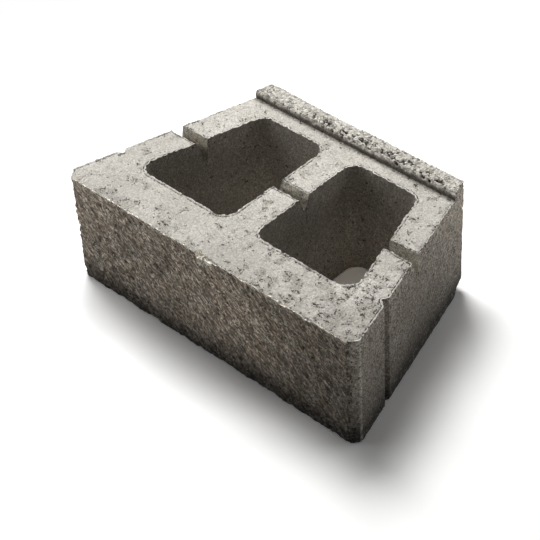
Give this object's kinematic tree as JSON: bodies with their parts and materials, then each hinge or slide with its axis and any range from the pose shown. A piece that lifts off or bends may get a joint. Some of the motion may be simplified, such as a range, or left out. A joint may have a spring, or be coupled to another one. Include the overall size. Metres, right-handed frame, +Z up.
{
  "type": "retaining wall block",
  "caption": "Hollow concrete retaining wall block with a split front, sides that taper to the rear and a lip along the rear edge.",
  "frame": {"origin": "on the underside, midway between the sides and midway between the split front and the rear face", "axes": "+X to the right along the split front, +Y from the front to the rear, +Z up towards the lip"},
  "size_m": [0.4394, 0.272, 0.161],
  "materials": {
    "concrete": "dry-cast concrete, matt and open-grained, with a rough split front"
  },
  "bodies": {
    "root": {"block": "concrete"}
  },
  "joints": []
}
